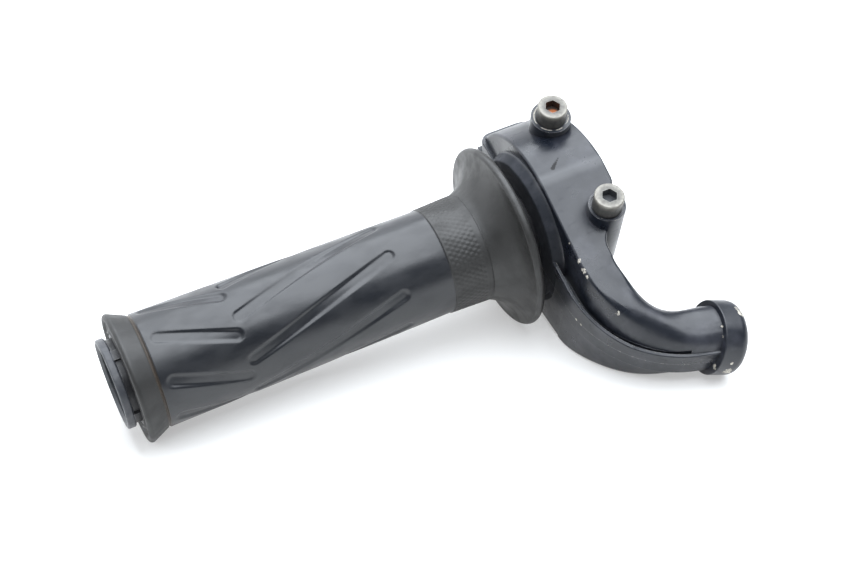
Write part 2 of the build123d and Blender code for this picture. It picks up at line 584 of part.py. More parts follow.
def rubber_grip():
    """Closed form of the moulded rubber: end ring, body, knurled band and bell flange."""
    back_x = LIP_X + LIP_T
    outline = [
        Line((GRIP_START_X, SLEEVE_R), (GRIP_START_X, RING_R - RING_ROUND)),
        ThreePointArc((GRIP_START_X, RING_R - RING_ROUND),
                      (GRIP_START_X + RING_MID_ROUND, RING_R - RING_MID_ROUND), (RING_X, RING_R)),
        Line((RING_X, RING_R), (VEE_X - VEE_W / 2, BODY_R)),
        Line((VEE_X - VEE_W / 2, BODY_R), (VEE_X, BODY_R - VEE_DEPTH)),
        Line((VEE_X, BODY_R - VEE_DEPTH), (VEE_X + VEE_W / 2, BODY_R)),
        Line((VEE_X + VEE_W / 2, BODY_R), (BAND_X, BAND_R)),
        Line((BAND_X, BAND_R), (BAND_X, BAND_R + BAND_STEP)),
        Line((BAND_X, BAND_R + BAND_STEP), (FLARE_X, FLARE_R)),
        ThreePointArc((FLARE_X, FLARE_R), FLARE_MID, (LIP_X, LIP_R - LIP_FRONT_ROUND)),
        ThreePointArc((LIP_X, LIP_R - LIP_FRONT_ROUND), (LIP_X + LIP_T / 2, LIP_R + LIP_CREST),
                      (back_x, LIP_R - LIP_BACK_ROUND)),
        Line((back_x, LIP_R - LIP_BACK_ROUND), (back_x, SLEEVE_R)),
        Line((back_x, SLEEVE_R), (GRIP_START_X, SLEEVE_R)),
    ]
    return revolve(make_face(outline), Axis.X)


# ---------------------------------------------------------------- assembly
def build():
    pieces = {
        "housing_upper": housing_upper(),
        "housing_lower": housing_lower(),
        "snout_collar": snout_collar(),
        "cable_seat": cable_seat(),
        "wire_liner": wire_liner(),
        "clamp_screw_front": clamp_screw(FRONT),
        "clamp_screw_rear": clamp_screw(REAR),
        "thrust_washer": thrust_washer(),
        "throttle_sleeve": throttle_sleeve(),
        "rubber_grip": rubber_grip(),
    }
    for name, (x, y, radius) in DOWELS.items():
        pieces["locating_dowel_" + name] = locating_dowel(x, y, radius)
    return {name: Rot(LEAN, 0, 0) * solid for name, solid in pieces.items()}


os.makedirs("parts", exist_ok=True)
for node, solid in build().items():
    export_step(solid, f"parts/{node}.step")
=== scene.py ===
"""Looks of the twist throttle grip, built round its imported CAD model.

Lengths are worked out in millimetres and turned into metres by MM where a mesh, light or
camera is made.  The frame's X axis is the handlebar's axis, so the rubber is drawn as
rings about X and its pattern as if its surface were unrolled.  Places on the housing are
given as they are before it is leant about the bar, with its screws upright.
"""
import json
import math

import bpy
import numpy as np
from mathutils import Matrix, Vector


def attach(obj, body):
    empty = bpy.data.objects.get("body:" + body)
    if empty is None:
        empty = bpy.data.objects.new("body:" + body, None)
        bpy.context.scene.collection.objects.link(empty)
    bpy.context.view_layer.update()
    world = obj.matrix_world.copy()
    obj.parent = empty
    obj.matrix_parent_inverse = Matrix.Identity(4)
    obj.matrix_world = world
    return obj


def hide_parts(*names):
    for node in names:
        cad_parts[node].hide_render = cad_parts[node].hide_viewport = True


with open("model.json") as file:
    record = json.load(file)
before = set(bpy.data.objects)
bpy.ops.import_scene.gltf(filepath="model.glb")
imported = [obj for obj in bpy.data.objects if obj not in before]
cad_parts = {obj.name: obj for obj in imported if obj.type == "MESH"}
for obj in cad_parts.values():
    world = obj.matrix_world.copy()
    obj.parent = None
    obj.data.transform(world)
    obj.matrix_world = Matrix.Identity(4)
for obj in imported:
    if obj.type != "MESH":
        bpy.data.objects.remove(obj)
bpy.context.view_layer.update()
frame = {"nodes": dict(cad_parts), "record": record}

MM = 0.001

# ---------------------------------------------------------------- rubber grip, mm
LEAN = 21.5                       # degrees the whole grip is rolled about the bar
SLEEVE_R, RIM_INNER_X = 13.0, -138.2      # the plastic sleeve, and where its open rim ends
GRIP_START_X = -136.6
MOUTH_DEPTH, BEAD_FALL, BEAD_R = 0.9, 0.25, 0.4   # bead round the sleeve at the open end
HOLLOW_X, HOLLOW_EDGE = 0.7, 1.4  # hollow between the bead and the end ring
RING_X, RING_R, RING_ROUND = -135.4, 18.5, 1.2    # end ring
VEE_X, VEE_DEPTH, VEE_W = -130.1, 0.5, 0.9
BODY_R = 16.3
BAND_X, BAND_R, BAND_STEP = -44.5, 15.4, 0.25     # where the diamond band begins
FLARE_X, FLARE_R, FLARE_STEP = -32.8, 16.05, 0.2  # where the bell flange begins
FLARE_MID = (-27.3, 19.6)         # (x, radius) that the flange's curve passes through
LIP_X, LIP_R, LIP_T = -24.7, 26.8, 2.6
LIP_CREST = 0.08                  # rise of the lip's rounding at its middle
BACK_HOLLOW = (0.7, 20.0)         # (depth, radius) of the hollow in the flange's back
BACK_HOLLOW_END = (0.2, 15.5)
COLUMNS = 320                     # mesh columns round the grip
BODY_SPACING, BAND_SPACING, FINE_SPACING = 0.42, 0.26, 0.15   # between mesh rings
SURFACE_R = 16.0                  # radius at which the pattern is unrolled

GROOVE_PITCH = 45.0               # degrees round the grip
GROOVE_HALF_W, GROOVE_EDGE, GROOVE_DEPTH = 1.55, 1.05, 0.52
SHORT_GROOVE = ((-126.2, 92.0), (-106.4, 118.0))     # (x, degrees from +Y) of both ends
LONG_GROOVE = ((-104.0, 101.0), (-59.5, 52.0))
DIAMOND_PITCH, DIAMOND_DEPTH = 1.35, 0.16
DIAMOND_SLANT = 35.0              # degrees between a row of diamonds and the bar
DIAMOND_FLAT = 0.45               # share of a diamond that its cuts leave level
DIAMOND_FROM, DIAMOND_TO, DIAMOND_FADE = 0.5, 1.6, 0.4    # from the band's two ends

# ---------------------------------------------------------------- housing, mm, before the lean
REAR, FRONT = 1, -1               # sides of the bar
SCREW_Y, SEAT_Z = 16.5, {REAR: 24.05, FRONT: 23.3}
SPOT_R = 4.8                      # faced spots round the screws' heads
RECESS_X, RECESS_R = -9.9, 22.2   # greasy hollow behind the flange
CREST, CREST_R = (-2.0, 23.6), 1.5       # (y, z) of the top's ridge, where a painted highlight runs along it

# A dark mark behind the ridge tapers from one place (x, y, z) to another.
SMEAR_FROM, SMEAR_TO, SMEAR_R, SMEAR_DABS = (-8.0, 0.5, 24.0), (-5.0, 3.0, 23.7), (0.65, 0.3), 6

# Paint knocked off to the metal.
SHOULDER_X, SHOULDER_Y, SHOULDER_Z = -13.4, -20.0, 18.7   # edge beside the snout's flat top
SHOULDER_FALL = 0.235             # per mm outwards along -Y
SHOULDER_CHIPS = ((0.5, 0.6), (6.0, 1.0), (9.0, 1.1), (11.0, 0.8))      # (mm outwards, radius)
PARTING_CHIPS = ((-16.0, -34.0, 0.5), (-15.5, -36.0, 0.6))              # (x, y, radius)
BEND_CHIP, BEND_CHIP_R = (-9.5, -42.5, 12.0), 0.9
COLLAR_CHIPS = (      # (mm past the outlet's middle, degrees from the top, mm off axis, radius)
    (5.0, 12.0, 10.4, 1.9), (4.5, 3.0, 10.4, 1.2), (2.5, 118.0, 10.5, 2.1), (2.0, 97.0, 10.4, 0.7),
    (-1.5, 117.0, 9.2, 1.2), (-1.5, 34.0, 8.8, 0.5), (-1.5, 52.0, 8.6, 0.5),
)


# ---------------------------------------------------------------- places on the housing
def housing_point(y, z, x=0.0):
    """A point in the frame, from where it is before the housing is leant."""
    lean = math.radians(LEAN)
    return (x, y * math.cos(lean) - z * math.sin(lean), y * math.sin(lean) + z * math.cos(lean))


def screw_point(side, above_seat, beside=0.0):
    """A point in the frame, mm above the seat of a clamp screw's head and beside its axis."""
    return housing_point(side * SCREW_Y + beside, SEAT_Z[side] + above_seat)


def collar_point(along, degrees, off_axis):
    """A point round the collar, mm past the cable outlet's middle and degrees from its top."""
    outlet = next(mount for mount in frame["record"]["mounts"] if mount["name"] == "cable_outlet")
    axis = Vector(outlet["axis"])
    up = (Vector((0, 0, 1)) - axis.z * axis).normalized()
    turn = math.radians(degrees)
    outwards = math.cos(turn) * up + math.sin(turn) * axis.cross(up)
    return Vector(outlet["pos_m"]) / MM + along * axis + off_axis * outwards


def paint_chips():
    """(place, radius) of the chips: on the shoulder, the parting line, the bend and the collar."""
    chips = [(housing_point(SHOULDER_Y - out, SHOULDER_Z - SHOULDER_FALL * out, SHOULDER_X), radius)
             for out, radius in SHOULDER_CHIPS]
    chips += [(housing_point(y, 0.0, x), radius) for x, y, radius in PARTING_CHIPS]
    x, y, z = BEND_CHIP
    chips.append((housing_point(y, z, x), BEND_CHIP_R))
    return chips + [(collar_point(*place), radius) for *place, radius in COLLAR_CHIPS]


def smear_dabs():
    """(place, radius) of the overlapping dabs that make the tapering dark mark."""
    dabs = []
    for share in np.linspace(0, 1, SMEAR_DABS):
        x, y, z = Vector(SMEAR_FROM).lerp(Vector(SMEAR_TO), share)
        dabs.append((housing_point(y, z, x), SMEAR_R[0] + (SMEAR_R[1] - SMEAR_R[0]) * share))
    return dabs


# ---------------------------------------------------------------- node helpers
class Tree:
    """Short calls for the nodes of one material."""

    def __init__(self, name, roughness=0.5, metallic=0.0, specular=0.5):
        self.material = bpy.data.materials.new(name)
        self.material.use_nodes = True
        tree = self.material.node_tree
        self.nodes, self.links, self.shader = tree.nodes, tree.links, tree.nodes["Principled BSDF"]
        self.shader.inputs["Roughness"].default_value = roughness
        self.shader.inputs["Metallic"].default_value = metallic
        self.shader.inputs["Specular IOR Level"].default_value = specular
        self.place = self.nodes.new("ShaderNodeTexCoord").outputs["Object"]

    def put(self, socket, value):
        """Links a node's output to a socket, or sets the socket to a number or a colour."""
        if isinstance(value, bpy.types.NodeSocket):
            self.links.new(value, socket)
        elif isinstance(value, tuple) and len(value) == 3 and socket.type == "RGBA":
            socket.default_value = (*value, 1.0)
        else:
            socket.default_value = value

    def math(self, operation, a, b=0.0, clamp=False):
        node = self.nodes.new("ShaderNodeMath")
        node.operation, node.use_clamp = operation, clamp
        self.put(node.inputs[0], a)
        self.put(node.inputs[1], b)
        return node.outputs[0]

    def ramp(self, value, low, high, to_low=0.0, to_high=1.0):
        """Smooth step of value from low..high to to_low..to_high."""
        node = self.nodes.new("ShaderNodeMapRange")
        node.interpolation_type = "SMOOTHSTEP"
        self.put(node.inputs["Value"], value)
        for name, number in (("From Min", low), ("From Max", high),
                             ("To Min", to_low), ("To Max", to_high)):
            self.put(node.inputs[name], number)
        return node.outputs[0]

    def noise(self, size_mm, detail=3.0, roughness=0.55, stretch=None, seed=0.0):
        """Noise whose main features are size_mm wide; stretch scales the axes."""
        place = self.place
        if stretch or seed:
            mapping = self.nodes.new("ShaderNodeMapping")
            mapping.inputs["Scale"].default_value = stretch or (1, 1, 1)
            mapping.inputs["Location"].default_value = (seed, seed, seed)
            self.put(mapping.inputs["Vector"], place)
            place = mapping.outputs[0]
        node = self.nodes.new("ShaderNodeTexNoise")
        self.put(node.inputs["Vector"], place)
        node.inputs["Scale"].default_value = 1.0 / (size_mm * MM)
        node.inputs["Detail"].default_value = detail
        node.inputs["Roughness"].default_value = roughness
        return node.outputs["Fac"]

    def mix(self, share, a, b):
        """Colour a where share is 0, b where it is 1."""
        node = self.nodes.new("ShaderNodeMix")
        node.data_type = "RGBA"
        self.put(node.inputs[0], share)
        self.put(node.inputs[6], a)
        self.put(node.inputs[7], b)
        return node.outputs[2]

    def near(self, point_mm, radius_mm, blur=0.5, size=None):
        """1 within radius of a point, 0 outside; size scales the axes, and 0 ignores one."""
        offset = self.nodes.new("ShaderNodeVectorMath")
        offset.operation = "SUBTRACT"
        self.put(offset.inputs[0], self.place)
        offset.inputs[1].default_value = Vector(point_mm) * MM
        scaled = self.nodes.new("ShaderNodeVectorMath")
        scaled.operation = "MULTIPLY"
        self.put(scaled.inputs[0], offset.outputs[0])
        scaled.inputs[1].default_value = size or (1, 1, 1)
        length = self.nodes.new("ShaderNodeVectorMath")
        length.operation = "LENGTH"
        self.put(length.inputs[0], scaled.outputs[0])
        inner, outer = radius_mm * (1 - blur) * MM, radius_mm * (1 + blur) * MM
        return self.ramp(length.outputs["Value"], inner, outer, 1.0, 0.0)

    def axis(self, name):
        split = self.nodes.new("ShaderNodeSeparateXYZ")
        self.put(split.inputs[0], self.place)
        return split.outputs[name]

    def edges(self, radius_mm, low=0.02, high=0.16):
        """1 along outward edges, found by how far a bevel would turn the surface's normal."""
        bevel = self.nodes.new("ShaderNodeBevel")
        bevel.samples = 6
        bevel.inputs["Radius"].default_value = radius_mm * MM
        dot = self.nodes.new("ShaderNodeVectorMath")
        dot.operation = "DOT_PRODUCT"
        self.put(dot.inputs[0], bevel.outputs[0])
        self.put(dot.inputs[1], self.nodes.new("ShaderNodeNewGeometry").outputs["Normal"])
        turned = self.ramp(self.math("SUBTRACT", 1.0, dot.outputs["Value"]), low, high)
        return self.math("MULTIPLY", turned, self.ramp(self.openness(1.5), 0.55, 0.85))

    def openness(self, reach_mm):
        """1 on open surfaces, and less in corners and grooves."""
        node = self.nodes.new("ShaderNodeAmbientOcclusion")
        node.samples = 6
        node.inputs["Distance"].default_value = reach_mm * MM
        return node.outputs["AO"]

    def largest(self, values):
        value = values[0]
        for other in values[1:]:
            value = self.math("MAXIMUM", value, other)
        return value

    def bump(self, height, strength, distance_mm, normal=None):
        node = self.nodes.new("ShaderNodeBump")
        node.inputs["Strength"].default_value = strength
        node.inputs["Distance"].default_value = distance_mm * MM
        self.put(node.inputs["Height"], height)
        if normal is not None:
            self.put(node.inputs["Normal"], normal)
        return node.outputs[0]

    def finish(self, colour=None, roughness=None, normal=None, metallic=None):
        """Connects what varies over the surface, and returns the material."""
        for name, value in (("Base Color", colour), ("Roughness", roughness),
                            ("Normal", normal), ("Metallic", metallic)):
            if value is not None:
                self.put(self.shader.inputs[name], value)
        return self.material


# ---------------------------------------------------------------- materials
def black_paint(name):
    """Worn satin black paint on cast aluminium: dark mark, grease, chips, rubbed edges, and a
    painted highlight along the edges and the ridge.
    """
    t = Tree(name, specular=0.52)
    haze = t.ramp(t.noise(7.0, 4, seed=3.0), 0.42, 0.8)
    colour = t.mix(haze, (0.005, 0.007, 0.012), (0.030, 0.032, 0.041))
    scuff = t.ramp(t.noise(1.3, 4, stretch=(0.35, 1.0, 1.0), seed=1.0), 0.56, 0.72)
    rough = t.math("ADD", t.ramp(t.noise(9.0, 3), 0.35, 0.7, 0.27, 0.39),
                   t.math("MULTIPLY", scuff, 0.12))
    smear = t.largest([t.near(at, radius, 0.5) for at, radius in smear_dabs()])
    smear = t.ramp(t.math("ADD", smear, t.noise(0.9, 4, 0.6, seed=7.0)), 0.95, 1.15)
    colour = t.mix(smear, colour, (0.001, 0.001, 0.002))
    rough = t.math("ADD", rough, t.math("MULTIPLY", smear, 0.4))
    dust = t.math("MULTIPLY", t.ramp(t.openness(2.5), 0.75, 0.35),
                  t.ramp(t.noise(2.5, 3, seed=5.0), 0.45, 0.7))
    colour = t.mix(t.math("MULTIPLY", dust, 0.25), colour, (0.045, 0.044, 0.042))
    greasy = t.math("MULTIPLY", t.near((0, 0, 0), RECESS_R, 0.01, (0, 1, 1)),
                    t.ramp(t.axis("X"), (RECESS_X + 0.2) * MM, (RECESS_X - 0.2) * MM))
    rough = t.math("ADD", rough, t.math("MULTIPLY", greasy, 0.5))
    # A painted highlight: a paler band along the top's ridge.
    crest_highlight = t.near(housing_point(*CREST), CREST_R, 0.7, (0, 1, 1))

    ragged = t.noise(0.8, 4, 0.65, seed=2.0)
    spots = t.largest([t.near(at, radius, 0.6) for at, radius in paint_chips()])
    knocked = t.ramp(t.math("ADD", spots, t.math("MULTIPLY", ragged, 2.0)), 1.88, 1.98)
    edge = t.edges(0.45)
    rubbed = t.ramp(t.math("ADD", t.math("MULTIPLY", edge, 0.5), ragged), 1.04, 1.12)
    seat = t.math("SUBTRACT", t.near(screw_point(REAR, 0.2), SPOT_R + 0.25, 0.02),
                  t.near(screw_point(REAR, 0.2), SPOT_R - 0.15, 0.02), clamp=True)
    seat = t.math("MULTIPLY", seat, t.ramp(t.noise(2.0, 3, seed=8.0), 0.40, 0.52))
    bare = t.largest([knocked, t.math("MULTIPLY", rubbed, 0.6), seat])
    # Edges are made paler, partly as rubbed paint and partly as a painted highlight; the ridge's
    # pale band is painted highlight only.
    rubbed_and_highlit = t.largest([t.math("MULTIPLY", edge, 0.6), t.math("MULTIPLY", crest_highlight, 0.45)])
    polished_and_highlit = t.mix(rubbed_and_highlit, colour, (0.095, 0.098, 0.105))
    metal = t.mix(t.ramp(t.noise(0.6, 3), 0.4, 0.6), (0.50, 0.47, 0.40), (0.30, 0.28, 0.25))
    height = t.math("SUBTRACT", t.math("MULTIPLY", t.noise(1.1, 3), 0.5), bare)
    rough = t.math("ADD", rough, t.math("MULTIPLY", bare, 0.2))
    return t.finish(t.mix(bare, polished_and_highlit, metal), rough, t.bump(height, 0.4, 0.06))


def zinc(name):
    """Dull zinc plating on the socket screws, darker at the foot, with a darkened front socket, a
    rusty rear socket and head edges made paler, partly as a painted highlight.
    """
    t = Tree(name, metallic=0.75, specular=0.4)
    blotch = t.ramp(t.noise(1.6, 4), 0.4, 0.7)
    colour = t.mix(blotch, (0.275, 0.265, 0.235), (0.21, 0.20, 0.18))
    # Each head is made darker towards its foot.
    dark_foot = t.largest([t.near(screw_point(side, -0.6), 6.4, 0.16) for side in (REAR, FRONT)])
    colour = t.mix(t.math("MULTIPLY", dark_foot, 0.85), colour, (0.022, 0.022, 0.024))
    socket = t.near(screw_point(REAR, 3.4), 2.7, 0.12)
    colour = t.mix(t.math("MULTIPLY", socket, 0.9), colour, (0.035, 0.022, 0.015))
    rust = t.math("MULTIPLY", t.near(screw_point(REAR, 3.0, -0.8), 1.8, 0.25),
                  t.ramp(t.noise(0.9, 3, seed=4.0), 0.2, 0.45))
    colour = t.mix(rust, colour, (0.42, 0.125, 0.035))
    # The front screw's socket is made darker.
    dark_front_socket = t.near(screw_point(FRONT, 3.0), 2.7, 0.12)
    colour = t.mix(t.math("MULTIPLY", dark_front_socket, 0.6), colour, (0.07, 0.075, 0.085))
    rough = t.ramp(t.noise(0.8, 4), 0.3, 0.7, 0.42, 0.62)
    # Head edges are made paler, partly as rubbed plating and partly as a painted highlight.
    colour = t.mix(t.math("MULTIPLY", t.edges(0.35), 0.6), colour, (0.32, 0.315, 0.285))
    metallic = t.math("SUBTRACT", 0.75, t.largest([socket, dark_front_socket, t.math("MULTIPLY", dark_foot, 0.5)]))
    return t.finish(colour, rough, t.bump(t.noise(0.35, 3), 0.3, 0.03), metallic)


def simple(name, colour, other, roughness, metallic=0.0, grain_mm=1.0):
    """A plain finish with slight mottling, for the small and hidden pieces."""
    t = Tree(name, metallic=metallic)
    mottle = t.ramp(t.noise(grain_mm * 4, 3), 0.35, 0.7)
    rough = t.ramp(t.noise(grain_mm, 3), 0.3, 0.7, roughness * 0.85, roughness * 1.15)
    return t.finish(t.mix(mottle, colour, other), rough, t.bump(t.noise(grain_mm, 3), 0.2, 0.03))


def sleeve_plastic(name):
    """Dark moulded plastic of the sleeve, with a painted highlight along its open rim and on its
    worn edges.
    """
    t = Tree(name, specular=0.4)
    mottle = t.ramp(t.noise(3.0, 4), 0.35, 0.7)
    colour = t.mix(mottle, (0.016, 0.016, 0.018), (0.024, 0.024, 0.026))
    # A painted highlight: past RIM_INNER_X the open rim is made paler.
    rim_highlight = t.ramp(t.axis("X"), (RIM_INNER_X + 0.2) * MM, (RIM_INNER_X - 0.2) * MM)
    colour = t.mix(rim_highlight, colour, t.mix(mottle, (0.045, 0.048, 0.056), (0.075, 0.077, 0.084)))
    # Edges are made paler, partly as wear and partly as a painted highlight.
    worn_and_highlit = t.math("MULTIPLY", t.edges(0.6), t.ramp(t.noise(1.2, 4), 0.3, 0.6, 0.3, 1.0))
    colour = t.mix(worn_and_highlit, colour, (0.16, 0.16, 0.15))
    rough = t.ramp(t.noise(0.8, 3), 0.3, 0.7, 0.30, 0.44)
    return t.finish(colour, rough, t.bump(t.noise(0.5, 3), 0.25, 0.03))


def rubber(name):
    """Black rubber, polished by the hand on the body and dull on the band and the flange."""
    t = Tree(name, specular=0.62)
    x = t.axis("X")
    dull = t.math("ADD", t.ramp(x, (BAND_X - 0.2) * MM, (BAND_X + 0.2) * MM),
                  t.ramp(x, (VEE_X + 0.4) * MM, (VEE_X - 0.4) * MM), clamp=True)
    flange = t.ramp(x, (FLARE_X - 0.5) * MM, (FLARE_X + 1.0) * MM)
    broad = t.ramp(t.noise(14.0, 4), 0.3, 0.7)
    colour = t.mix(broad, (0.0035, 0.0048, 0.0075), (0.006, 0.0075, 0.011))
    colour = t.mix(dull, colour, (0.0085, 0.0083, 0.0078))
    dust = t.math("MULTIPLY", t.ramp(t.openness(1.2), 0.9, 0.5),
                  t.ramp(t.noise(2.0, 4), 0.35, 0.65))
    colour = t.mix(t.math("MULTIPLY", dust, 0.45), colour, (0.055, 0.048, 0.04))
    groove = t.ramp(t.math("ABSOLUTE", t.math("SUBTRACT", x, VEE_X * MM)), 0.55 * MM, 0.3 * MM)
    colour = t.mix(t.math("MULTIPLY", groove, 0.7), colour, (0.05, 0.036, 0.024))
    # Edges are made paler, partly as wear and partly as a painted highlight.
    worn_and_highlit = t.math("MULTIPLY", t.edges(0.5), t.ramp(t.noise(1.6, 4), 0.35, 0.6))
    colour = t.mix(t.math("MULTIPLY", worn_and_highlit, 0.5), colour, (0.05, 0.05, 0.05))
    gloss = t.ramp(t.noise(5.0, 5, stretch=(0.5, 1.0, 1.0)), 0.38, 0.66, 0.29, 0.44)
    rough = t.math("ADD", gloss, t.math("MULTIPLY", dull, 0.2))
    rough = t.math("ADD", rough, t.math("MULTIPLY", flange, -0.06))
    dents = t.bump(t.noise(6.0, 1, seed=6.0), 0.3, 0.2)
    return t.finish(colour, rough, t.bump(t.noise(0.45, 4), 0.3, 0.04, dents))


# ---------------------------------------------------------------- rubber grip mesh
def arc(start, through, end, count):
    """Points on the circle through three points, from start to end."""
    (x1, y1), (x2, y2), (x3, y3) = start, through, end
    d = 2 * (x1 * (y2 - y3) + x2 * (y3 - y1) + x3 * (y1 - y2))
    s1, s2, s3 = x1 * x1 + y1 * y1, x2 * x2 + y2 * y2, x3 * x3 + y3 * y3
    cx = (s1 * (y2 - y3) + s2 * (y3 - y1) + s3 * (y1 - y2)) / d
    cy = (s1 * (x3 - x2) + s2 * (x1 - x3) + s3 * (x2 - x1)) / d
    radius = math.hypot(x1 - cx, y1 - cy)
    a1, a2, a3 = (math.atan2(y - cy, x - cx) for x, y in (start, through, end))
    turn = (a3 - a1) % (2 * math.pi)
    if (a2 - a1) % (2 * math.pi) > turn:
        turn -= 2 * math.pi
    angles = [a1 + turn * i / count for i in range(count + 1)]
    return [(cx + radius * math.cos(a), cy + radius * math.sin(a)) for a in angles]


def line(start, end, step):
    """Points from start towards end, about step apart, without the end itself."""
    count = max(1, round(math.dist(start, end) / step))
    return [tuple(np.array(start) + (np.array(end) - np.array(start)) * i / count)
            for i in range(count)]


def grip_profile():
    """Closed outline of the rubber as (x, radius), from the end face round to the bore."""
    face, lip_end = GRIP_START_X, LIP_X + LIP_T
    foot, bead = (face + BEAD_FALL, SLEEVE_R + BEAD_FALL), SLEEVE_R + BEAD_FALL + BEAD_R
    points = line((face + MOUTH_DEPTH, SLEEVE_R), foot, 0.4)
    points += arc(foot, (face, bead), (foot[0], bead + BEAD_R), 6)
    points += line((face + HOLLOW_X, SLEEVE_R + HOLLOW_EDGE), (face + 0.75, RING_R - 2.2), 0.5)

    # end ring and vee groove
    points += arc((face + HOLLOW_X, RING_R - 2.0), (face, RING_R - RING_ROUND),
                  (RING_X, RING_R), 10)
    points += line((RING_X + 0.25, RING_R - 0.08), (VEE_X - VEE_W / 2, BODY_R), 0.4)
    points += line((VEE_X - VEE_W / 2, BODY_R), (VEE_X, BODY_R - VEE_DEPTH), 0.2)
    points += line((VEE_X, BODY_R - VEE_DEPTH), (VEE_X + VEE_W / 2, BODY_R), 0.2)

    # body and diamond band
    band = (BAND_X + 0.1, BAND_R + BAND_STEP)
    points += line((VEE_X + VEE_W / 2, BODY_R), (BAND_X, BAND_R), BODY_SPACING)
    points += line((BAND_X, BAND_R), band, FINE_SPACING)
    points += line(band, (FLARE_X, FLARE_R), BAND_SPACING)

    # bell flange, its lip and its hollow back
    points += line((FLARE_X, FLARE_R), (FLARE_X + 0.15, FLARE_R - FLARE_STEP), FINE_SPACING)
    points += arc((FLARE_X + 0.3, FLARE_R), FLARE_MID, (LIP_X, LIP_R - 0.5), 26)
    points += arc((LIP_X + 0.1, LIP_R - 0.35), (LIP_X + LIP_T / 2, LIP_R + LIP_CREST),
                  (lip_end, LIP_R - 0.9), 8)
    points += arc((lip_end, LIP_R - 1.6), (lip_end - BACK_HOLLOW[0], BACK_HOLLOW[1]),
                  (lip_end - BACK_HOLLOW_END[0], BACK_HOLLOW_END[1]), 14)

    # bore
    points += line((lip_end, SLEEVE_R + 0.6), (lip_end, SLEEVE_R), 0.4)
    points += line((lip_end, SLEEVE_R), (face + MOUTH_DEPTH, SLEEVE_R), 6.0)
    return np.array(points)


def capsule_distance(x, around, ends):
    """Distance on the unrolled surface from points to the line between a groove's ends."""
    (x0, a0), (x1, a1) = ends
    y0, y1 = (math.radians(a) * SURFACE_R for a in (a0, a1))
    dx, dy = x1 - x0, y1 - y0
    share = np.clip(((x - x0) * dx + (around - y0) * dy) / (dx * dx + dy * dy), 0, 1)
    return np.hypot(x - x0 - share * dx, around - y0 - share * dy)


def groove_depth(x, theta):
    """Depth of the hand grooves at (x, theta), theta in radians from +Y before the lean."""
    pitch = math.radians(GROOVE_PITCH)
    nearest = np.full(np.broadcast(x, theta).shape, 1e3)
    for ends in (SHORT_GROOVE, LONG_GROOVE):
        start = math.radians(min(ends[0][1], ends[1][1]))
        base = (theta - start) % pitch
        for turn in range(-1, 3):
            around = (start + base + turn * pitch) * SURFACE_R
            nearest = np.minimum(nearest, capsule_distance(x, around, ends))
    share = np.clip((GROOVE_HALF_W - nearest) / GROOVE_EDGE + 0.5, 0, 1)
    return GROOVE_DEPTH * share * share * (3 - 2 * share)


def diamond_depth(x, theta):
    """Depth of the crossed cuts of the diamond band, 0 outside it."""
    slant = math.radians(DIAMOND_SLANT)
    circumference = 2 * math.pi * SURFACE_R
    cuts = round(circumference * math.cos(slant) / DIAMOND_PITCH)
    across = (x - BAND_X) * math.sin(slant) / DIAMOND_PITCH
    turn = theta / (2 * math.pi) * cuts
    one, two = (np.abs((turn + across) % 1 - 0.5), np.abs((turn - across) % 1 - 0.5))
    cut = np.clip(np.maximum(one, two) * 2 - DIAMOND_FLAT, 0, 1) / (1 - DIAMOND_FLAT)
    inside = (np.clip((x - BAND_X - DIAMOND_FROM) / DIAMOND_FADE, 0, 1)
              * np.clip((FLARE_X - DIAMOND_TO - x) / DIAMOND_FADE, 0, 1))
    return DIAMOND_DEPTH * cut * inside


def rubber_grip():
    """The moulded rubber with its grooves, diamond band and bell flange, as one closed mesh."""
    profile = grip_profile()
    rows = len(profile)
    theta = np.arange(COLUMNS) * 2 * math.pi / COLUMNS
    drawn = theta - math.radians(LEAN)
    x, radius = profile[:, :1], profile[:, 1:]
    depth = np.where((x > VEE_X + 1) & (radius > SLEEVE_R + 1) & (x < FLARE_X),
                     groove_depth(x, drawn[None, :]) + diamond_depth(x, drawn[None, :]), 0)
    r = (radius - depth) * MM
    co = np.stack([np.broadcast_to(x * MM, r.shape), r * np.cos(theta), r * np.sin(theta)], -1)
    row, column = np.meshgrid(np.arange(rows), np.arange(COLUMNS), indexing="ij")
    next_row, next_column = (row + 1) % rows, (column + 1) % COLUMNS
    quads = np.stack([row * COLUMNS + column, row * COLUMNS + next_column,
                      next_row * COLUMNS + next_column, next_row * COLUMNS + column], -1)
    mesh = bpy.data.meshes.new("rubber_grip_moulding")
    mesh.from_pydata(co.reshape(-1, 3).tolist(), [], quads.reshape(-1, 4).tolist())
    mesh.shade_smooth()
    mesh.materials.append(rubber("rubber"))
    piece = bpy.data.objects.new("rubber_grip_moulding", mesh)
    bpy.context.scene.collection.objects.link(piece)
    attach(piece, "twist")
    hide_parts("rubber_grip")


# ---------------------------------------------------------------- carried-over CAD nodes
def paint_nodes():
    """Gives every CAD node its material; the rubber's plain solid is hidden by its moulding."""
    paint = black_paint("satin_black_paint")
    steel = zinc("zinc_plated_steel")
    ground = simple("ground_steel", (0.5, 0.5, 0.5), (0.4, 0.4, 0.4), 0.3, 1.0)
    brass = simple("machined_brass", (0.6, 0.42, 0.18), (0.5, 0.34, 0.14), 0.3, 1.0)
    nylon = simple("natural_nylon", (0.7, 0.69, 0.64), (0.62, 0.6, 0.54), 0.45)
    plastic = sleeve_plastic("grey_plastic")
    finish = {
        "housing_upper": paint, "housing_lower": paint, "snout_collar": paint,
        "clamp_screw_front": steel, "clamp_screw_rear": steel,
        "locating_dowel_front": ground, "locating_dowel_rear": ground,
        "cable_seat": brass, "wire_liner": nylon, "thrust_washer": nylon,
        "throttle_sleeve": plastic, "rubber_grip": plastic,
    }
    for name, node in frame["nodes"].items():
        node.data.materials.clear()
        node.data.materials.append(finish[name])


